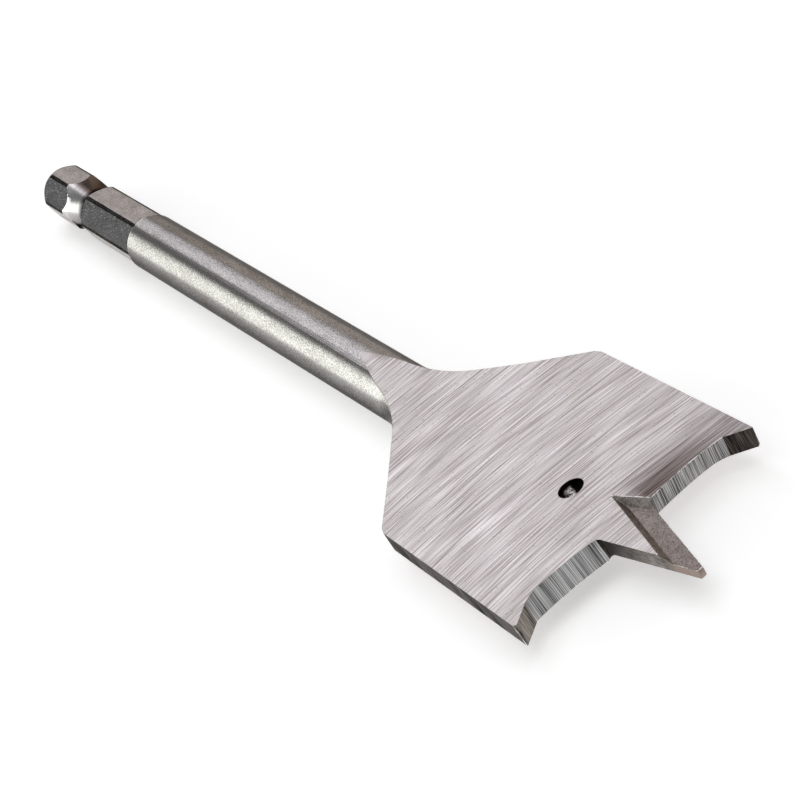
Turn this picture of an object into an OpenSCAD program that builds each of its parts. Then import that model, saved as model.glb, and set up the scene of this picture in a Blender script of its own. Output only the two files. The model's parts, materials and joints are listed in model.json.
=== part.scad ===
// Spade drill bit: a hexagon-shank wood bit forged from one round bar, with its blade ground flat on both
// faces. The bit lies along X with its drill axis on the X axis: the shank's end is at x = 0 and the point is
// at the +X end. The blade is level, and the bit turns clockwise seen from the shank.

/* [Shank] */
// Length of the bit from the shank's end to the tip of the point
overall_length = 159.5; // [130:0.5:220]
// Width of the hexagon across its flats
hex_across_flats = 6.3; // [5.6:0.05:6.7]
// Length of the hexagon, from the shank's end to the round shaft
hex_length = 29.8; // [24:0.2:40]
// Turn of the hexagon about the axis, from a flat that stands square to the blade's edge
hex_turn = 14; // [0:1:59]
// Slope of the turned cone at the shank's end, from the axis
shank_end_slope = 22; // [15:1:45]
// Slope of the turned shoulder between the hexagon and the round shaft, from the axis
hex_shoulder_slope = 30; // [15:1:45]
// Diameter of the flat on the shank's end
shank_end_diameter = 5.4; // [3:0.1:6]
// Distance from the shank's end to the deepest turn of the detent groove
groove_position = 13.2; // [10:0.1:16]
// Diameter at the bottom of the detent groove
groove_diameter = 4.9; // [4.2:0.1:5.6]
// Radius of the groove's long rear slope, seen from the side
groove_slope_radius = 14; // [6:0.5:18]
// Lean of the groove's short front wall, from square to the axis
groove_wall_lean = 50; // [20:1:60]

/* [Shaft] */
// Diameter of the round shaft, and of the bar that the bit is made from
shaft_diameter = 7; // [6.8:0.1:10]

/* [Blade] */
// Width of the blade across the tips of its spurs, which is the size of the hole it cuts
blade_width = 30; // [22:0.5:40]
// Thickness of the blade between its ground faces
blade_thickness = 2.4; // [1.6:0.1:3.2]
// Length of the blade's long sides, from the line of the lips back to the shoulder
blade_length = 27.4; // [18:0.2:40]
// Narrowing of each long side towards the shank
back_taper = 0.75; // [0:0.05:1.5]
// Angle of the sloping shoulders to the axis
shoulder_angle = 35; // [28:1:50]
// Size of the blunt cut at each shoulder's outer corner
corner_blunt = 0.9; // [0.3:0.1:2]
// Radius of the neck where the shaft spreads into the shoulders
neck_radius = 12; // [6:0.5:20]
// Slope of the ground ramp from the shaft down to the blade's face
ramp_slope = 8.7; // [6:0.1:11]
// How far behind the neck the ramp leaves the shaft
ramp_lead = 5; // [3:0.2:8]
// Radius of the soft head where the ramp leaves the shaft
ramp_head_radius = 40; // [20:1:60]
// Radius of the soft foot where the ramp runs out on the blade's face
ramp_foot_radius = 50; // [20:1:60]

/* [Cutting end] */
// Length of the centre point ahead of the lips
point_length = 13.5; // [10:0.1:20]
// Width of the point where it meets the lips
point_root_width = 6.25; // [5:0.05:9]
// Width of the blunt tip of the point
tip_width = 0.6; // [0.3:0.1:1]
// Radius in the corner between a lip and the point
root_radius = 0.8; // [0.3:0.1:1.5]
// Hollow of each lip between the point and its spur
lip_hollow = 0.3; // [0:0.05:0.6]
// Relief of the lips and the point behind their cutting edges
relief_angle = 17; // [8:1:28]
// Height of the spurs ahead of the lips
spur_height = 2.2; // [1:0.1:4]
// Width of each spur where it rises from its lip
spur_width = 2.6; // [1.5:0.05:5]
// Relief of the spurs' inner faces behind their leading edges
spur_relief = 3; // [0:1:15]
// Radius in the corner between a lip and its spur, on the leading face
spur_root_radius = 0.5; // [0.3:0.1:0.8]
// Depth of the blunt flat that is ground across each spur's leading tip
spur_blunt = 0.1; // [0.05:0.05:0.3]
// Angle between the axis and the way that flat faces
spur_blunt_facing = 40; // [20:1:60]
// Relief of that flat behind the leading tip
spur_blunt_relief = 11; // [5:1:20]
// Depth of the pocket ground in the leading face of each half of the point
pocket_depth = 0.7; // [0.3:0.05:1]
// Width of a pocket's floor, across the point's cutting edge
pocket_floor_width = 1.95; // [1.5:0.05:3]
// How far behind the lips a pocket's floor begins
pocket_heel = 2.2; // [1:0.1:5]
// Angle of a pocket's rear wall to the axis
pocket_rear_angle = 22; // [15:1:40]
// Lean of the pocket's long wall from square to the face
pocket_side_lean = 42; // [10:1:50]
// Lean of the pocket's rear wall from square to the face
pocket_rear_lean = 50; // [10:1:55]

/* [Hanging hole] */
// Diameter of the hole through the blade
hole_diameter = 2.8; // [2:0.1:5]
// Distance of the hole behind the lips
hole_setback = 10.4; // [8:0.1:15]

/* [Hidden] */
$fn = 96;
steel = "#b3aeaa";
// Overshoot of every cutting solid past what it cuts
over = 1;
// Overrun of the turned neck past the plane where the shaft ends, in degrees
neck_overrun = 5;
// Straight pieces that a ramp's soft head and foot, a hollow lip and a rounded corner are drawn with
head_steps = 6;
foot_steps = 12;
lip_steps = 10;
corner_steps = 6;

shaft_r = shaft_diameter / 2;
half_t = blade_thickness / 2;
half_w = blade_width / 2;
lip_x = overall_length - point_length;
spur_x = lip_x + spur_height;
reach = overall_length;

// Plan of one half: the shoulder's corner, then the neck's end on the shoulder and its start on the shaft
function half_width(x) = half_w - (spur_x - x) * tan(back_taper);
corner_x = lip_x - blade_length;
corner_y = half_width(corner_x);
neck_end_y = shaft_r + neck_radius * (1 - cos(shoulder_angle));
neck_end_x = corner_x - (corner_y - neck_end_y) / tan(shoulder_angle);
neck_x = neck_end_x - neck_radius * sin(shoulder_angle);

// Side view: where the ramp leaves the top of the shaft and where its straight part would meet the face
ramp_x = neck_x - ramp_lead;
foot_x = ramp_x + (shaft_r - half_t) / tan(ramp_slope);
foot_tangent = ramp_foot_radius * tan(ramp_slope / 2);
head_tangent = ramp_head_radius * tan(ramp_slope / 2);

// Points on an arc about a centre, from one angle to another
function arc(centre, radius, from, to, steps) =
    [for (i = [0:steps])
        let (angle = from + (to - from) * i / steps)
        centre + radius * [cos(angle), sin(angle)]];

// Points of a shallow hollow in the line x = 0, between two ends that are left out
function hollow(from_y, to_y, depth, steps) =
    [for (i = [1:steps - 1]) let (t = i / steps) [-4 * depth * t * (1 - t), from_y + t * (to_y - from_y)]];

// The way that a line in the plan faces, when it is turned from Y towards X, and the plan ahead of that line
function facing(turn) = [cos(turn), -sin(turn)];
function ahead_of(point, turn) =
    let (along = reach * [sin(turn), cos(turn)])
    [point - along, point + along, point + reach * facing(turn)];

// A solid turned about the drill axis, from points of [radius, distance along the axis]
module turned(points) {
    rotate([0, 90, 0]) rotate_extrude() polygon(points);
}

// A plan outline given the full height of the bar
module full_height() {
    linear_extrude(height = 2 * (shaft_r + over), center = true) children();
}

// The round bar, coned at the shank's end
module bar() {
    cone_length = (shaft_r - shank_end_diameter / 2) / tan(shank_end_slope);
    turned([[0, 0], [shank_end_diameter / 2, 0], [shaft_r, cone_length], [shaft_r, neck_x], [0, neck_x]]);
}

// What is milled off the bar to leave the hexagon, up to the cone where the shaft begins
module hexagon_waste() {
    difference() {
        translate([-over, 0, 0]) rotate([0, 90, 0]) cylinder(r = shaft_r + over, h = hex_length + 2 * over);
        rotate([hex_turn, 0, 0])
            translate([-2 * over, 0, 0])
                rotate([0, 90, 0])
                    cylinder(d = hex_across_flats / cos(30), h = hex_length + 4 * over, $fn = 6);
        turned([
            [0, hex_length - shaft_r / tan(hex_shoulder_slope)],
            [shaft_r + 2 * over, hex_length + 2 * over / tan(hex_shoulder_slope)],
            [0, hex_length + 2 * over / tan(hex_shoulder_slope)]
        ]);
    }
}

// The detent groove: a long hollow slope behind its deepest turn, and a short leaning wall in front
module detent_groove() {
    bottom_r = groove_diameter / 2;
    outer_r = shaft_r + over;
    rotate([0, 90, 0])
        rotate_extrude() {
            intersection() {
                translate([bottom_r + groove_slope_radius, groove_position]) circle(groove_slope_radius);
                translate([bottom_r - over, 0]) square([outer_r - bottom_r + over, groove_position]);
            }
            polygon([
                [bottom_r, groove_position],
                [outer_r, groove_position],
                [outer_r, groove_position + (outer_r - bottom_r) * tan(groove_wall_lean)]
            ]);
        }
}

// Everything between the two ground faces: the ramps from the shaft, their soft feet and the level faces
module ground_thickness() {
    // The head's first piece slopes a little already, and starts above the shaft
    first_slope = ramp_slope / head_steps;
    head_centre = [ramp_x - head_tangent, shaft_r - ramp_head_radius];
    head = arc(head_centre, ramp_head_radius, 90 - first_slope, 90 - ramp_slope, head_steps - 1);
    above_shaft = head[0] + 2 * over / sin(first_slope) * [-cos(first_slope), sin(first_slope)];
    foot_centre = [foot_x + foot_tangent, half_t + ramp_foot_radius];
    upper = concat(
        [[-reach, above_shaft[1]], above_shaft],
        head,
        arc(foot_centre, ramp_foot_radius, 270 - ramp_slope, 270, foot_steps),
        [[overall_length + over, half_t]]
    );
    lower = [for (i = [len(upper) - 1:-1:0]) [upper[i][0], -upper[i][1]]];
    rotate([90, 0, 0])
        linear_extrude(height = blade_width + 2 * over, center = true)
            polygon(concat(upper, lower));
}

// Section of the forged edge of the neck and shoulder: the bar's own round side, and solid steel behind it
module forged_edge_section() {
    translate([shaft_r, 0]) circle(shaft_r);
    translate([shaft_r, -shaft_r]) square([reach, 2 * shaft_r]);
}

// One half of the forging ahead of the bar: the neck, turned back about its own centre, and the shoulder.
// Both start from the plane where they meet. The neck runs on past the shaft's end, where the plan trims it
module spread_half() {
    translate([neck_x, shaft_r + neck_radius, 0])
        rotate([0, 0, 270 + shoulder_angle])
            mirror([0, 1, 0]) {
                rotate_extrude(angle = shoulder_angle + neck_overrun)
                    translate([neck_radius, 0]) forged_edge_section();
                rotate([90, 0, 0])
                    linear_extrude(height = reach)
                        translate([neck_radius, 0]) forged_edge_section();
            }
}

// Plan limits of one half: the axis, the tapered long side and the blunt corner
module half_plan() {
    corner = [corner_x, corner_y];
    side_end = corner + corner_blunt * [cos(back_taper), sin(back_taper)];
    shoulder_end = corner - corner_blunt * [cos(shoulder_angle), sin(shoulder_angle)];
    // The blunt cut runs on past the shoulder's edge
    blunt_end = shoulder_end + over * (shoulder_end - side_end) / norm(shoulder_end - side_end);
    tip_x = overall_length + over;
    polygon([
        [neck_x, 0],
        [neck_x, shaft_r + over],
        blunt_end,
        side_end,
        [tip_x, half_width(tip_x)],
        [tip_x, 0]
    ]);
}

module blade_half() {
    intersection() {
        spread_half();
        full_height() half_plan();
        ground_thickness();
    }
}

// The bar with its blade spread and ground, before the cutting end is formed
module blank() {
    intersection() {
        bar();
        ground_thickness();
    }
    blade_half();
    mirror([0, 1, 0]) blade_half();
}

// A cut whose outline is drawn on the leading face, from the line of the lips, and runs back at an angle
module ground_back(outline, angle) {
    translate([lip_x, 0, half_t])
        rotate([0, angle, 0])
            linear_extrude(height = 6 * blade_thickness, center = true)
                polygon([for (p = outline) [p[0] * cos(angle), p[1]]]);
}

// What is ground away in front of one lip: ahead of the lip and the flank of the point, and inside the spur
module front_waste() {
    root_y = point_root_width / 2;
    tip_x = point_length + half_t * tan(relief_angle);
    tip_y = tip_width / 2;
    flank_angle = atan2(root_y - tip_y, tip_x);
    spur_root = [0, half_w - spur_width];
    outer_y = half_w + 2 * over;
    // The corner arc touches the lip and the flank
    corner_centre = [root_radius, root_y + root_radius * tan(45 - flank_angle / 2)];
    lip_points = hollow(corner_centre[1], spur_root[1], lip_hollow, lip_steps);
    // The last straight piece of the lip runs on through the spur's root
    last_piece = spur_root - lip_points[len(lip_points) - 1];
    lip_end = spur_root + last_piece * (outer_y - spur_root[1]) / last_piece[1];
    lip_outline = concat(
        [[tip_x, -half_w], [tip_x, tip_y]],
        arc(corner_centre, root_radius, 270 - flank_angle, 180, corner_steps),
        lip_points,
        [lip_end, [reach, outer_y], [reach, -half_w]]
    );
    // The corner by the spur is a row of flats that turn from the lip to the spur and lose relief on the way
    lip_turn = atan2(last_piece[0], last_piece[1]);
    spur_turn = atan2(spur_height, spur_width);
    facings = facing(lip_turn) + facing(spur_turn);
    spur_corner_centre = spur_root + 2 * spur_root_radius * facings / (facings * facings);
    intersection() {
        ground_back(lip_outline, relief_angle);
        intersection_for (i = [1:corner_steps]) {
            turn = lip_turn + (spur_turn - lip_turn) * i / corner_steps;
            relief = spur_relief + (relief_angle - spur_relief) * pow(1 - i / corner_steps, 2);
            ground_back(ahead_of(spur_corner_centre - spur_root_radius * facing(turn), turn), relief);
        }
    }
}

// The blunt end of one spur: a flat across its leading tip that leans back towards the trailing face
module spur_end_waste() {
    translate([spur_x, half_w, half_t])
        rotate([0, 0, spur_blunt_facing])
            rotate([0, spur_blunt_relief, 0])
                translate([spur_width / 2 - spur_blunt, 0, 0])
                    cube([spur_width, spur_width, 6 * blade_thickness], center = true);
}

// One wall of the pocket and the floor ahead of it: +Y of this frame is into the pocket, z = 0 its floor
module pocket_side(lean) {
    rise = pocket_depth + over;
    rotate([90, 0, 90])
        linear_extrude(height = 2 * reach, center = true)
            polygon([[0, 0], [reach, 0], [reach, rise], [-rise * tan(lean), rise]]);
}

// The pocket in the upper face: a long wall beside the point's cutting edge, and a rear wall by the lip
module point_pocket() {
    root_y = point_root_width / 2;
    flank_angle = atan2(root_y - tip_width / 2, point_length);
    heel_y = root_y + pocket_heel * tan(flank_angle) - pocket_floor_width / cos(flank_angle);
    translate([lip_x - pocket_heel, heel_y, half_t - pocket_depth])
        intersection() {
            rotate([0, 0, -flank_angle]) pocket_side(pocket_side_lean);
            rotate([0, 0, 180 + pocket_rear_angle]) pocket_side(pocket_rear_lean);
        }
}

// The cutting end is the same turned half round about the drill axis
module both_halves() {
    children();
    rotate([180, 0, 0]) children();
}

module spade_bit() {
    color(steel)
        difference() {
            blank();
            hexagon_waste();
            detent_groove();
            both_halves() front_waste();
            both_halves() spur_end_waste();
            both_halves() point_pocket();
            translate([lip_x - hole_setback, 0, 0])
                cylinder(d = hole_diameter, h = blade_thickness + 2 * over, center = true);
        }
}

spade_bit();
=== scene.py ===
"""Finish, light and camera for a spade drill bit that lies on a pale floor.

The bit is one piece of forged and ground steel, so it is one mesh: the solid's own, with its edges broken by
a hair. Each stretch of it has the finish that its last machining left, and some stretches and edges also
have painted light and shade in their colour. Lengths are in millimetres until MM turns them to metres.
"""
import json
import math

import bmesh
import bpy
from mathutils import Matrix, Vector
from mathutils.geometry import intersect_point_line


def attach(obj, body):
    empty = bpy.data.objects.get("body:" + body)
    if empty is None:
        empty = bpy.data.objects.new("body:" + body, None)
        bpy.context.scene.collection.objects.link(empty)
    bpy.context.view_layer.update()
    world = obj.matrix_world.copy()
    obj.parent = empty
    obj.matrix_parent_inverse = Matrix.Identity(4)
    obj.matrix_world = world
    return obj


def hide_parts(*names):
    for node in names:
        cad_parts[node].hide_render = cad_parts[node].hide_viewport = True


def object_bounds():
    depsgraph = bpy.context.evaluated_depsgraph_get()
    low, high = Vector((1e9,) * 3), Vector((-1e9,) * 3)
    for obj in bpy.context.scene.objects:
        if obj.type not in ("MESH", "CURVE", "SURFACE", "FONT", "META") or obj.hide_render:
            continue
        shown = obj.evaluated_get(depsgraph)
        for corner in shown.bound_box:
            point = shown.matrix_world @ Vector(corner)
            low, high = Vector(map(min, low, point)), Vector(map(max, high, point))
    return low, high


MM = 0.001

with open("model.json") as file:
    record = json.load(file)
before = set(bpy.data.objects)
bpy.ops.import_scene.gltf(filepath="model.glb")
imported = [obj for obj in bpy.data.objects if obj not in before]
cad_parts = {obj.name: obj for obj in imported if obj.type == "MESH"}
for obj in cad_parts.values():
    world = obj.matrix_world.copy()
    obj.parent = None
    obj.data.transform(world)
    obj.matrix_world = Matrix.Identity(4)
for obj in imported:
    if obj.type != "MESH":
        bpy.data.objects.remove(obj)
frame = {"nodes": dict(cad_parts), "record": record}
cad_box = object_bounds()
mounts = {mount["name"]: mount for mount in frame["record"]["mounts"]}

# Places on the bit, which lies along X with its shank's end at x = 0
SHAFT_RADIUS = mounts["shaft"]["dims"]["r_mm"]
HOLE_RADIUS = mounts["hang_hole"]["dims"]["r_mm"]
HOLE_X = mounts["hang_hole"]["pos_m"][0] / MM
HALF_THICKNESS = mounts["hang_hole"]["dims"]["length_mm"] / 2
HALF_WIDTH = cad_box[1].y / MM
HEX_FLAT_RADIUS = 3.15
HEX_END_X = 29.8
GROOVE_RADIUS = 2.45
RAMP_X = 90.8
CORNER_X = 118.6
LIP_X = 146.0
SPUR_WIDTH = 2.6
# Limits for the middles of faces: they part the groove from the cones, the point and its pockets from the
# rest of the blade, and the lips from the point's flanks
GROOVE_X = (6.0, 16.0)
POINT_REAR_X = 142.0
POINT_HALF_WIDTH = 4.6
LIP_REACH = 1.0
# Every sharp edge is broken by this much. Corners closer than SHORTEST_EDGE are joined first, to make room,
# and those that the breaks leave closer than SAME_PLACE are joined after
EDGE_BREAK = 0.05
SHORTEST_EDGE = 0.03
SAME_PLACE = 0.002
# Angles between two faces, in degrees: below the first they are one flat, above the second the edge between
# them is broken, and up to the third they are shaded as one smooth surface
FLAT_ANGLE = 0.1
SHARP_ANGLE = 24
SMOOTH_ANGLE = 40


def linear(hex_colour):
    """An sRGB colour such as #b0aca8 as linear red, green, blue and alpha."""
    channels = [int(hex_colour[i:i + 2], 16) / 255 for i in (1, 3, 5)]
    return [c / 12.92 if c <= 0.04045 else ((c + 0.055) / 1.055) ** 2.4 for c in channels] + [1.0]


def add(tree, kind, links=None, **settings):
    """Adds one node: settings are its properties, and links gives sockets a value or a node's output."""
    node = tree.nodes.new(kind)
    for name, value in settings.items():
        setattr(node, name, value)
    for socket, value in (links or {}).items():
        if isinstance(value, bpy.types.NodeSocket):
            tree.links.new(value, node.inputs[socket])
        else:
            node.inputs[socket].default_value = value
    return node


# Sockets of the mix node when it mixes colours
MIX_A, MIX_B, MIX_RESULT = 6, 7, 2
# How far past their limit flecks reach their full colour
FLECK_RIM = 0.06


def start_material(name):
    """An empty node material and its tree."""
    material = bpy.data.materials.new(name)
    material.use_nodes = True
    material.node_tree.nodes.clear()
    return material, material.node_tree


def uneven_marks(tree, place, sizes, detail):
    """Marks of these sizes in millimetres along X, Y and Z: a value near 0.5 that differs by the mark."""
    per_metre = [1 / (size * MM) for size in sizes]
    scaled = add(tree, "ShaderNodeVectorMath", {0: place, 1: per_metre}, operation="MULTIPLY")
    noise = add(tree, "ShaderNodeTexNoise", {"Vector": scaled.outputs[0], "Scale": 1.0, "Detail": detail})
    return noise.outputs["Fac"]


def laid_over(tree, under, over, value, start, end, most=1.0):
    """A colour under another: none of that where a value is start, and as much as most where it is end."""
    share = add(
        tree, "ShaderNodeMapRange",
        {"Value": value, "From Min": start, "From Max": end, "To Min": 0.0, "To Max": most},
    )
    both = add(
        tree, "ShaderNodeMix",
        {"Factor": share.outputs["Result"], MIX_A: under, MIX_B: linear(over)}, data_type="RGBA",
    )
    return both.outputs[MIX_RESULT]


def finish_metal(tree, colour, marks, spread, roughness, height, depth, edge_tint):
    """The metal itself, under its colour.

    It is smoothest where marks, which vary by spread about 0.5, are highest, and height is cut as deep as
    depth. A low edge_tint darkens what is seen at a glancing angle.
    """
    smooth, rough = roughness
    gloss = add(
        tree, "ShaderNodeMapRange",
        {"Value": marks, "From Min": 0.5 - spread, "From Max": 0.5 + spread,
         "To Min": rough, "To Max": smooth},
    )
    relief = add(tree, "ShaderNodeBump", {"Height": height, "Strength": 1.0, "Distance": depth * MM})
    # A low edge_tint is painted shade: it darkens glancing reflections to draw dark outlines on the steel
    shader = add(
        tree, "ShaderNodeBsdfPrincipled",
        {"Base Color": colour, "Metallic": 1.0, "Roughness": gloss.outputs["Result"],
         "Normal": relief.outputs["Normal"], "Specular Tint": [edge_tint, edge_tint, edge_tint, 1.0]},
    )
    add(tree, "ShaderNodeOutputMaterial", {"Surface": shader.outputs["BSDF"]})


def steel(
    name, dark, light, marks, patches, roughness, depth, spread=0.12, patch_share=0.4, slant=0.0, rings=False,
    flecks=None, covers=(), edge_tint=1.0,
):
    """Bare steel with one machining's marks.

    marks and patches are the sizes of its fine marks and of its broad uneven areas along X, Y and Z, and
    slant turns both about Y, in degrees. Where rings is true, the sizes are along the axis and out from it.
    Marks and patches are mixed, with patch_share of the patches. Over spread either side of the mix's middle
    the colour runs from dark to light, and the roughness from its second value to its first. The fine marks
    are cut as deep as depth. flecks gives small specks a size, a limit that only their peaks pass and a
    colour. Each of covers lays a colour over it from one place to another, along X, Y or Z or by the distance
    from the axis.
    """
    material, tree = start_material(name)
    place = add(tree, "ShaderNodeTexCoord").outputs["Object"]
    axes = add(tree, "ShaderNodeSeparateXYZ", {"Vector": place}).outputs
    radial = add(tree, "ShaderNodeCombineXYZ", {"X": 0.0, "Y": axes["Y"], "Z": axes["Z"]}).outputs[0]
    distance = add(tree, "ShaderNodeVectorMath", {0: radial}, operation="LENGTH").outputs["Value"]
    if rings:
        laid = add(tree, "ShaderNodeCombineXYZ", {"X": axes["X"], "Y": distance, "Z": 0.0}).outputs[0]
    else:
        laid = add(
            tree, "ShaderNodeVectorRotate", {"Vector": place, "Angle": math.radians(slant)},
            rotation_type="Y_AXIS",
        ).outputs["Vector"]
    fine = uneven_marks(tree, laid, marks, detail=3.0)
    broad = uneven_marks(tree, laid, patches, detail=2.0)
    mixed = add(tree, "ShaderNodeMix", {"Factor": patch_share, "A": fine, "B": broad}).outputs["Result"]
    colour = laid_over(tree, linear(dark), light, mixed, 0.5 - spread, 0.5 + spread)
    if flecks:
        size, limit, fleck_colour = flecks
        specks = uneven_marks(tree, place, (size, size, size), detail=1.0)
        colour = laid_over(tree, colour, fleck_colour, specks, limit, limit + FLECK_RIM)
    measures = {"X": axes["X"], "Y": axes["Y"], "Z": axes["Z"], "distance": distance}
    for measure, start, end, cover_colour in covers:
        colour = laid_over(tree, colour, cover_colour, measures[measure], start * MM, end * MM)
    finish_metal(tree, colour, mixed, spread, roughness, fine, depth, edge_tint)
    return material


def wheel_ground_face():
    """Tool steel ground on the face of a cup wheel.

    The wheel's rim leaves fine bright and dark scratches that curve a little across the blade, in bands where
    the wheel cut harder. Behind the leading edge of each lip the steel is stained brown by heat. The real
    scratches are some 0.05 mm wide, and are drawn coarser so that they show.
    """
    # The wheel's radius, and how far its middle is off the drill axis along Y
    wheel_radius = 110.0
    wheel_offset = -3.5
    # How far the scratches' ends slide along Y for each millimetre along X
    slide = 11.0
    # How much of the mix is fine scratches and bands, and how far its value reaches from its middle
    fine_share = 0.5
    band_share = 0.1
    spread = 0.15
    material, tree = start_material("wheel_ground_tool_steel")
    place = add(tree, "ShaderNodeTexCoord").outputs["Object"]
    axes = add(tree, "ShaderNodeSeparateXYZ", {"Vector": place}).outputs
    # A scratch is an arc of the wheel's rim: it sags by the square of its distance from the wheel's centre
    offset = wheel_offset * MM
    across = add(tree, "ShaderNodeMath", {0: axes["Y"], 1: offset}, operation="SUBTRACT").outputs[0]
    squared = add(tree, "ShaderNodeMath", {0: across, 1: 2.0}, operation="POWER").outputs[0]
    sag = add(tree, "ShaderNodeMath", {0: squared, 1: 2 * wheel_radius * MM}, operation="DIVIDE").outputs[0]
    rim_x = add(tree, "ShaderNodeMath", {0: axes["X"], 1: sag}, operation="SUBTRACT").outputs[0]
    rim = add(tree, "ShaderNodeCombineXYZ", {"X": rim_x, "Y": axes["Y"], "Z": 0.0}).outputs[0]
    # For the scratches Y slides along with X, so that those side by side start and end at different places
    slid_y = add(
        tree, "ShaderNodeMath", {0: rim_x, 1: slide, 2: axes["Y"]}, operation="MULTIPLY_ADD",
    ).outputs[0]
    staggered = add(tree, "ShaderNodeCombineXYZ", {"X": rim_x, "Y": slid_y, "Z": 0.0}).outputs[0]
    scratches = uneven_marks(tree, staggered, (0.22, 8.0, 1.0), detail=0.0)
    fine_scratches = uneven_marks(tree, staggered, (0.2, 4.0, 1.0), detail=0.0)
    bands = uneven_marks(tree, rim, (3.0, 20.0, 1.0), detail=1.0)
    cut = add(
        tree, "ShaderNodeMix", {"Factor": fine_share, "A": scratches, "B": fine_scratches},
    ).outputs["Result"]
    mixed = add(tree, "ShaderNodeMix", {"Factor": band_share, "A": cut, "B": bands}).outputs["Result"]
    colour = laid_over(tree, linear("#a69d9b"), "#dbd7d6", mixed, 0.5 - spread, 0.5 + spread)
    # A thin film of oil, which is a little greener than the steel
    film = uneven_marks(tree, rim, (0.6, 14.0, 1.0), detail=0.0)
    colour = laid_over(tree, colour, "#d0d1c9", film, start=0.48, end=0.64, most=0.3)
    # Single deeper scratches: dark where the light misses their bottoms, bright where it catches their burrs
    single = uneven_marks(tree, staggered, (0.21, 9.0, 1.0), detail=0.0)
    colour = laid_over(tree, colour, "#6a625f", single, start=0.66, end=0.76, most=0.4)
    colour = laid_over(tree, colour, "#f6f4f3", single, start=0.34, end=0.24, most=0.4)
    # Small pits that the grinding hasn't reached the bottom of
    pits = uneven_marks(tree, place, (0.28, 0.18, 1.0), detail=0.0)
    colour = laid_over(tree, colour, "#756c68", pits, start=0.75, end=0.8, most=0.6)
    # On the leading half of either face, Y and Z have the same sign
    leading = add(tree, "ShaderNodeMath", {0: axes["Y"], 1: axes["Z"]}, operation="MULTIPLY").outputs[0]
    reach = add(tree, "ShaderNodeMath", {0: leading, 1: HALF_THICKNESS * MM}, operation="DIVIDE").outputs[0]
    # The stain starts beside the point, fades towards the corner and the rear, and is streaked by scratches
    heat = 1.0
    for value, start, end, low, high in [
        (reach, 0.5 * MM, 3.5 * MM, 0.0, 1.0),
        (reach, 7.0 * MM, 13.0 * MM, 1.0, 0.5),
        (axes["X"], (LIP_X - 6.0) * MM, (LIP_X - 2.0) * MM, 0.0, 1.0),
        (mixed, 0.38, 0.62, 1.0, 0.75),
    ]:
        part = add(
            tree, "ShaderNodeMapRange",
            {"Value": value, "From Min": start, "From Max": end, "To Min": low, "To Max": high},
        )
        heat = add(tree, "ShaderNodeMath", {0: heat, 1: part.outputs[0]}, operation="MULTIPLY").outputs[0]
    colour = laid_over(tree, colour, "#53463f", heat, start=0.0, end=1.0)
    finish_metal(
        tree, colour, mixed, spread, roughness=(0.38, 0.5), height=mixed, depth=0.006, edge_tint=0.8,
    )
    return material


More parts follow.
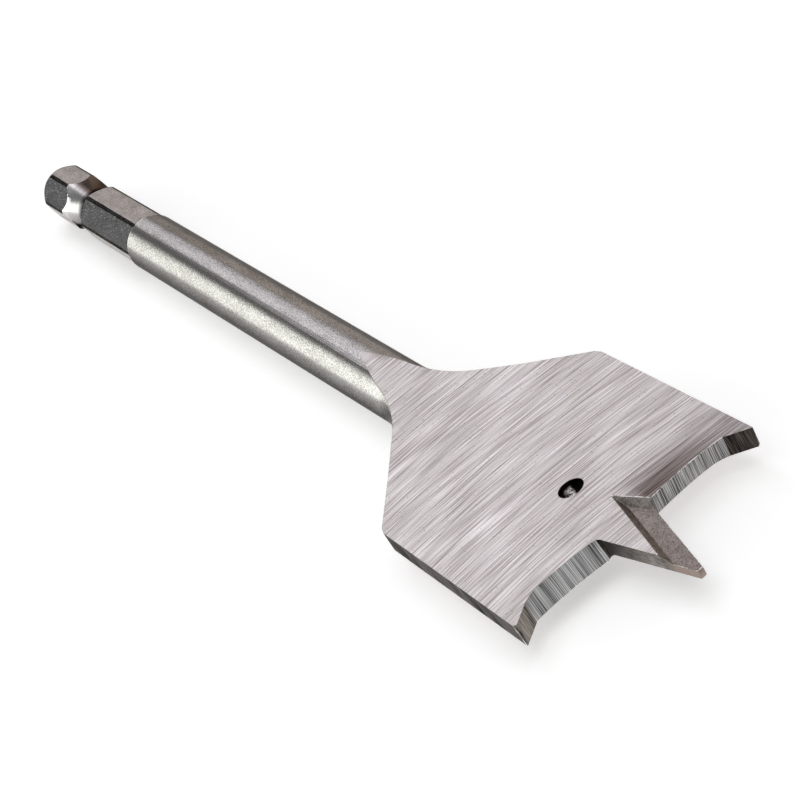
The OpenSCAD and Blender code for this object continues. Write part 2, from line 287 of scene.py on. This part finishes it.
# Each finish by the place it is found on. The fine marks are drawn two or three times too wide, to show
FINISHES = {
    "blade_face": wheel_ground_face(),
    # Cold-drawn bar, tumbled: an even satin with a fine grain and long soft reflections, with painted shade
    # darkening its outlines and a painted highlight, a pale band, on the rim by the hexagon
    "shaft": steel(
        "tumbled_drawn_steel", "#969290", "#cbc9c7",
        marks=(0.16, 0.16, 0.16), patches=(5.0, 1.2, 1.2), roughness=(0.23, 0.31), depth=0.004,
        patch_share=0.2, edge_tint=0.12, covers=[("X", HEX_END_X + 0.2, HEX_END_X + 0.1, "#d6d3d1")],
    ),
    # Drawn hexagon flat: duller than the round, and speckled with small pits that show light
    "hex_flat": steel(
        "drawn_hexagon_steel", "#7a736e", "#c1bbb7",
        marks=(0.16, 0.12, 0.12), patches=(2.5, 1.2, 1.2), roughness=(0.34, 0.48), depth=0.005,
        patch_share=0.25,
    ),
    # The same flat, a darker copy as painted shade for the flats that face one way, with pale specks
    "shaded_flat": steel(
        "painted_shade_hex_flat_steel", "#3e3d3e", "#5a595b",
        marks=(0.2, 0.14, 0.14), patches=(2.0, 1.0, 1.0), roughness=(0.4, 0.5), depth=0.004, patch_share=0.2,
        flecks=(0.16, 0.66, "#bdbbbc"), edge_tint=0.5,
    ),
    # Corners of the hexagon, left by the bar's round: nearly black, with paler specks
    "hex_corner": steel(
        "dark_specked_corner_steel", "#232221", "#444241",
        marks=(0.4, 0.2, 0.2), patches=(2.0, 1.0, 1.0), roughness=(0.35, 0.5), depth=0.005,
        flecks=(0.16, 0.64, "#8f8c8a"), edge_tint=0.4,
    ),
    # Turned cones and shank end: the lathe tool leaves them smooth and bright, in fine rings
    "turned": steel(
        "lathe_turned_steel", "#a09b97", "#c9c6c3",
        marks=(0.12, 0.12, 1.0), patches=(1.0, 1.0, 1.0), roughness=(0.22, 0.34), depth=0.002, rings=True,
    ),
    # Turned detent groove: the same, but paler as a painted highlight, brown towards its far side, and with
    # painted black shade in its bottom and underneath
    "groove": steel(
        "groove_steel_painted_light_and_shade", "#b9b6b6", "#dcdadb",
        marks=(0.12, 0.12, 1.0), patches=(1.0, 1.0, 1.0), roughness=(0.24, 0.3), depth=0.001, rings=True,
        edge_tint=0.2,
        covers=[
            ("Y", -0.5, 0.2, "#6f6661"),
            ("Z", -0.5, -1.1, "#1f1d1e"),
            ("distance", GROOVE_RADIUS + 0.15, GROOVE_RADIUS + 0.02, "#232120"),
        ],
    ),
    # Lips ground square to the face: short lines through the thickness, light and dark by turns
    "lip": steel(
        "cross_ground_lip_steel", "#525151", "#cccccc",
        marks=(9.0, 0.09, 9.0), patches=(9.0, 1.2, 9.0), roughness=(0.32, 0.48), depth=0.004, patch_share=0.3,
        spread=0.1,
    ),
    # The far lip: darker and duller than the near one
    "far_lip": steel(
        "far_lip_darker_steel", "#403f3f", "#b9b7b6",
        marks=(9.0, 0.09, 9.0), patches=(9.0, 1.2, 9.0), roughness=(0.34, 0.5), depth=0.004, patch_share=0.3,
        spread=0.08,
    ),
    # Near spur, ground by a finer and worn wheel, so darker and browner
    "spur": steel(
        "cross_ground_spur_steel", "#38332e", "#9a928a",
        marks=(0.12, 0.12, 9.0), patches=(0.7, 0.7, 9.0), roughness=(0.36, 0.5), depth=0.004, spread=0.07,
    ),
    # Far spur, darker than the near one, and painted shade in the corners by the point
    "dark_spur_and_corner_shade": steel(
        "dark_spur_and_painted_corner_shade_steel", "#1b1817", "#534c47",
        marks=(0.12, 0.12, 9.0), patches=(0.7, 0.7, 9.0), roughness=(0.36, 0.5), depth=0.004, spread=0.09,
    ),
    # Flanks of the point, ground along their slope and rubbed paler at the tip
    "flank": steel(
        "ground_point_steel", "#57524e", "#8d8681",
        marks=(1.2, 0.2, 0.2), patches=(3.5, 1.0, 1.0), roughness=(0.34, 0.48), depth=0.004,
        covers=[("X", LIP_X + 7.0, LIP_X, "#47423f"), ("X", LIP_X + 8.8, LIP_X + 10.2, "#97877d")],
    ),
    # Floor of the pockets, which a small wheel left mottled and brownish
    "pocket": steel(
        "pocket_ground_steel", "#6b625d", "#8b827d",
        marks=(0.14, 0.14, 0.14), patches=(1.6, 1.6, 1.6), roughness=(0.36, 0.48), depth=0.002,
        patch_share=0.2, spread=0.07,
    ),
    # Rear walls of the pockets, which face the light
    "pocket_rear": steel(
        "pocket_rear_ground_steel", "#7c746f", "#b8b1ac",
        marks=(0.22, 0.22, 0.22), patches=(1.2, 1.2, 1.2), roughness=(0.36, 0.48), depth=0.003,
    ),
    # Long walls of the pockets, which the wheel's edge burnt browner
    "pocket_wall": steel(
        "pocket_wall_ground_steel", "#4a413b", "#857a73",
        marks=(0.22, 0.22, 0.22), patches=(1.6, 1.6, 1.6), roughness=(0.36, 0.5), depth=0.003,
    ),
    # Long sides, sheared and left under forge scale: nearly black, with slanting paler drag marks
    "long_side": steel(
        "forge_scaled_side_steel", "#343130", "#9d9895",
        marks=(0.25, 1.0, 2.5), patches=(1.6, 2.0, 6.0), roughness=(0.42, 0.58), depth=0.006, slant=28.0,
        edge_tint=0.3,
    ),
    # Drilled hole: torn, crinkled wall; painted black shade at top and sides, painted highlight in its middle
    "hole": steel(
        "drilled_hole_steel", "#4a4441", "#fbf9f8",
        marks=(0.3, 0.25, 0.25), patches=(0.8, 0.8, 0.8), roughness=(0.3, 0.45), depth=0.08, spread=0.06,
        covers=[
            ("Z", 0.4, 0.7, "#1d1716"),
            ("Y", -0.35, -0.65, "#2c231f"),
            ("Y", 0.35, 0.6, "#0f0d0e"),
        ],
    ),
    # Burrs and edge highlights: bright metal in short lengths, partly real burrs and partly painted highlight
    "bright_edge": steel(
        "burr_and_painted_highlight_steel", "#8a8581", "#f0eeec",
        marks=(0.35, 0.35, 0.35), patches=(1.2, 1.2, 1.2), roughness=(0.34, 0.45), depth=0.002, spread=0.08,
    ),
}
FINISH_ORDER = list(FINISHES)


def finish_of(centre, normal):
    """The finish of a face, told by where its middle is in millimetres and which way it faces."""
    x, y, z = centre
    level = abs(normal.z) > 0.95
    sloping = abs(normal.z) > 0.45
    upright = abs(normal.z) < 0.3
    faces_along = abs(normal.x) > 0.02
    faces_ahead = normal.x > 0.3
    faces_straight_ahead = normal.x > 0.75
    faces_sideways = abs(normal.y) > 0.9
    in_hole = math.hypot(x - HOLE_X, y) < 1.1 * HOLE_RADIUS
    at_full_thickness = abs(z) > 0.9 * HALF_THICKNESS
    beside_axis = abs(y) < POINT_HALF_WIDTH
    lip_finish, spur_finish = ("lip", "spur") if y < 0 else ("far_lip", "dark_spur_and_corner_shade")
    if in_hole and upright:
        return "hole"
    if x < HEX_END_X:
        if faces_along:
            return "groove" if GROOVE_X[0] < x < GROOVE_X[1] else "turned"
        distance = y * normal.y + z * normal.z
        if distance > (HEX_FLAT_RADIUS + SHAFT_RADIUS) / 2:
            return "hex_corner"
        # Flats whose normal has Y and Z of opposite signs get the darker copy, as painted shade
        return "shaded_flat" if normal.y * normal.z < 0 else "hex_flat"
    if level and at_full_thickness and x > RAMP_X:
        return "blade_face"
    if x > POINT_REAR_X and beside_axis:
        if level:
            return "pocket"
        if sloping:
            return "pocket_rear" if normal.y * z < 0 else "pocket_wall"
        if x > LIP_X + LIP_REACH:
            return "flank"
        # Corner facets between the lip and the flank get the dark finish, as painted shade
        return lip_finish if faces_straight_ahead else "dark_spur_and_corner_shade"
    if x > LIP_X - LIP_REACH and faces_ahead:
        return lip_finish if abs(y) < HALF_WIDTH - SPUR_WIDTH else spur_finish
    if x > CORNER_X and faces_sideways:
        return "long_side"
    return "shaft"


def bright_edge_between(finishes, middle):
    """Whether the edge between faces of these two finishes gets the bright strip: partly burr, partly painted
    highlight.
    """
    pair = set(finishes)
    if pair & {"lip", "far_lip"} and "blade_face" in pair:
        return middle.y * middle.z > 0
    return pair in (
        {"blade_face", "pocket_rear"}, {"pocket", "flank"}, {"spur", "long_side"}, {"turned", "shaft"},
        {"turned", "hex_corner"},
    )


def distance_to(segment, point):
    """How far a point is from a straight edge given by its ends."""
    nearest, share = intersect_point_line(point, *segment)
    if share < 0 or share > 1:
        return min((point - end).length for end in segment)
    return (point - nearest).length


def dressed_bit(node):
    """The solid's mesh with whole flat faces, each sharp edge broken by a hair and a finish on each face."""
    shape = bmesh.new()
    shape.from_mesh(node.data)
    bmesh.ops.remove_doubles(shape, verts=shape.verts, dist=SHORTEST_EDGE * MM)
    bmesh.ops.dissolve_limit(
        shape, angle_limit=math.radians(FLAT_ANGLE), verts=shape.verts, edges=shape.edges,
    )
    # The hexagon's corners are parted from the shaft, whose round they share
    bmesh.ops.bisect_plane(
        shape, geom=[*shape.verts, *shape.edges, *shape.faces], dist=SHORTEST_EDGE * MM,
        plane_co=(HEX_END_X * MM, 0, 0), plane_no=(1, 0, 0),
    )
    for face in shape.faces:
        face.material_index = FINISH_ORDER.index(finish_of(face.calc_center_median() / MM, face.normal))
    sharp = [edge for edge in shape.edges if edge.calc_face_angle(0.0) > math.radians(SHARP_ANGLE)]
    bright = []
    for edge in sharp:
        ends = [vert.co.copy() for vert in edge.verts]
        finishes = [FINISH_ORDER[face.material_index] for face in edge.link_faces]
        if bright_edge_between(finishes, (ends[0] + ends[1]) / 2):
            bright.append(ends)
    broken = bmesh.ops.bevel(
        shape, geom=sharp, offset=EDGE_BREAK * MM, offset_type="OFFSET", segments=2, profile=0.5,
        affect="EDGES", clamp_overlap=False, material=-1,
    )
    # Strips along the chosen edges get the bright finish: partly burr, partly painted highlight
    for face in broken["faces"]:
        middle = face.calc_center_median()
        if any(distance_to(segment, middle) < EDGE_BREAK * MM for segment in bright):
            face.material_index = FINISH_ORDER.index("bright_edge")
    # Corners that the breaks leave on top of each other are joined, and faces with no area go
    bmesh.ops.remove_doubles(shape, verts=shape.verts, dist=SAME_PLACE * MM)
    bmesh.ops.dissolve_degenerate(shape, dist=SAME_PLACE * MM, edges=shape.edges)
    mesh = bpy.data.meshes.new("dressed_spade_bit")
    shape.to_mesh(mesh)
    shape.free()
    for finish in FINISHES.values():
        mesh.materials.append(finish)
    mesh.shade_smooth()
    mesh.set_sharp_from_angle(angle=math.radians(SMOOTH_ANGLE))
    bit = bpy.data.objects.new("dressed_spade_bit", mesh)
    bpy.context.scene.collection.objects.link(bit)
    # Flat faces keep their own normals beside the broken edges
    flat_normals = bit.modifiers.new("flat_normals", "WEIGHTED_NORMAL")
    flat_normals.weight = 100
    flat_normals.keep_sharp = True
    return bit


bit = dressed_bit(frame["nodes"]["spade_bit"])
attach(bit, "root")
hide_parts("spade_bit")


def pale_floor():
    """A white paper sweep: a round floor under the bit, whose rim curves up to be pale from every side."""
    flat_radius = 900.0
    rim_radius = 350.0
    # The rim climbs to this slope in degrees, by this many at a time
    rim_rise = 50
    rim_step = 5
    segments = 96
    profile = [(0.0, 0.0), (flat_radius / 2, 0.0)]
    for degrees in range(0, rim_rise + 1, rim_step):
        angle = math.radians(degrees)
        profile.append((flat_radius + rim_radius * math.sin(angle), rim_radius * (1 - math.cos(angle))))
    shape = bmesh.new()
    ends = [shape.verts.new((radius * MM, 0, height * MM)) for radius, height in profile]
    spokes = [shape.edges.new(pair) for pair in zip(ends, ends[1:])]
    bmesh.ops.spin(
        shape, geom=ends + spokes, cent=(0, 0, 0), axis=(0, 0, 1), angle=2 * math.pi, steps=segments
    )
    bmesh.ops.remove_doubles(shape, verts=shape.verts, dist=0.1 * MM)
    mesh = bpy.data.meshes.new("paper_sweep")
    shape.to_mesh(mesh)
    shape.free()
    mesh.shade_smooth()
    floor = bpy.data.objects.new("paper_sweep", mesh)
    floor.location = ((cad_box[0].x + cad_box[1].x) / 2, 0, cad_box[0].z)
    bpy.context.scene.collection.objects.link(floor)
    # Matt white paper. The camera, and the steel's reflections, see it lifted part of the way to white
    lift = 0.4
    material, tree = start_material("matt_white_paper")
    paper = add(tree, "ShaderNodeBsdfDiffuse", {"Color": linear("#f3f3f3"), "Roughness": 0.0})
    glow = add(tree, "ShaderNodeEmission", {"Color": linear("#ffffff"), "Strength": lift})
    ray = add(tree, "ShaderNodeLightPath")
    seen = ray.outputs["Is Camera Ray"]
    for kind in ("Is Glossy Ray", "Is Transmission Ray"):
        seen = add(tree, "ShaderNodeMath", {0: seen, 1: ray.outputs[kind]}, operation="MAXIMUM").outputs[0]
    shown_glow = add(tree, "ShaderNodeMixShader", {"Fac": seen, 2: glow.outputs[0]})
    both = add(tree, "ShaderNodeAddShader", {0: paper.outputs[0], 1: shown_glow.outputs[0]})
    add(tree, "ShaderNodeOutputMaterial", {"Surface": both.outputs[0]})
    mesh.materials.append(material)


# The middle of the picture, which the camera and the lamps point at
LOOK_AT = Vector((98.62, -0.91, 0.0))


def softbox(name, toward, distance, width, height, brightness, colour):
    """A rectangular lamp that faces the bit from a direction. Brightness 1 is as bright as white paper."""
    lamp = bpy.data.lights.new(name, "AREA")
    lamp.shape = "RECTANGLE"
    lamp.size = width * MM
    lamp.size_y = height * MM
    lamp.energy = brightness * math.pi * lamp.size * lamp.size_y
    lamp.color = linear(colour)[:3]
    holder = bpy.data.objects.new(name, lamp)
    holder.location = LOOK_AT * MM + Vector(toward).normalized() * distance * MM
    holder.rotation_euler = (-Vector(toward)).to_track_quat("-Z", "Y").to_euler()
    holder.visible_camera = False
    bpy.context.scene.collection.objects.link(holder)


def away_from_point(turn, rise):
    """A direction off behind the shank's end, turned towards -Y and raised off the floor by these degrees."""
    turn, rise = math.radians(turn), math.radians(rise)
    return Vector((-math.cos(turn) * math.cos(rise), -math.sin(turn) * math.cos(rise), math.sin(rise)))


def studio():
    """Lamps and a dim room."""
    # The blade's face and the shaft's upper side mirror this one, behind the shank
    softbox(
        "back_softbox", away_from_point(turn=-10.6, rise=40), distance=1000,
        width=350, height=950, brightness=1.45, colour="#fbf8ff",
    )
    # The shaft's near side mirrors this one as a broad bright band
    softbox(
        "side_panel", away_from_point(turn=38.5, rise=12), distance=900,
        width=720, height=400, brightness=2.5, colour="#fbfff9",
    )
    # A dimmer and warmer card, which the shaft's far side mirrors
    softbox(
        "far_card", away_from_point(turn=-44, rise=12), distance=900,
        width=700, height=400, brightness=0.9, colour="#ffeee0",
    )
    # From the front of the blade, for whoever looks from behind the shank
    softbox(
        "near_front_softbox", away_from_point(turn=135, rise=25), distance=1000,
        width=800, height=500, brightness=0.8, colour="#ffffff",
    )
    softbox(
        "far_front_softbox", away_from_point(turn=-140, rise=25), distance=1000,
        width=800, height=500, brightness=0.7, colour="#ffffff",
    )
    # Light from above, for the floor and the edges
    softbox(
        "top_softbox", (0.1, 0, 1), distance=1000,
        width=1300, height=1300, brightness=0.9, colour="#ffffff",
    )
    world = bpy.data.worlds.new("dim_room")
    world.use_nodes = True
    room = world.node_tree.nodes["Background"]
    room.inputs["Color"].default_value = linear("#ffffff")
    room.inputs["Strength"].default_value = 0.2
    bpy.context.scene.world = world


def photo_camera():
    """The camera at the photograph's angle: how far round from -Y, how high, how far off, how far rolled."""
    azimuth = math.radians(77.07)
    elevation = math.radians(28.81)
    roll = math.radians(-33.26)
    distance = 389.4
    image_width = 800
    focal_length = 3687.1
    camera = bpy.data.cameras.new("photo_camera")
    camera.sensor_width = 36
    camera.lens = focal_length / image_width * camera.sensor_width
    camera.clip_start = 10 * MM
    camera.clip_end = 10.0
    back = Vector((
        math.sin(azimuth) * math.cos(elevation), -math.cos(azimuth) * math.cos(elevation), math.sin(elevation)
    ))
    level = (-back).to_track_quat("-Z", "Y").to_matrix().to_4x4()
    holder = bpy.data.objects.new("photo_camera", camera)
    holder.matrix_world = (
        Matrix.Translation((LOOK_AT + back * distance) * MM) @ level @ Matrix.Rotation(roll, 4, "Z")
    )
    bpy.context.scene.collection.objects.link(holder)
    bpy.context.scene.camera = holder


pale_floor()
studio()
photo_camera()
bpy.context.scene.view_settings.view_transform = "Standard"
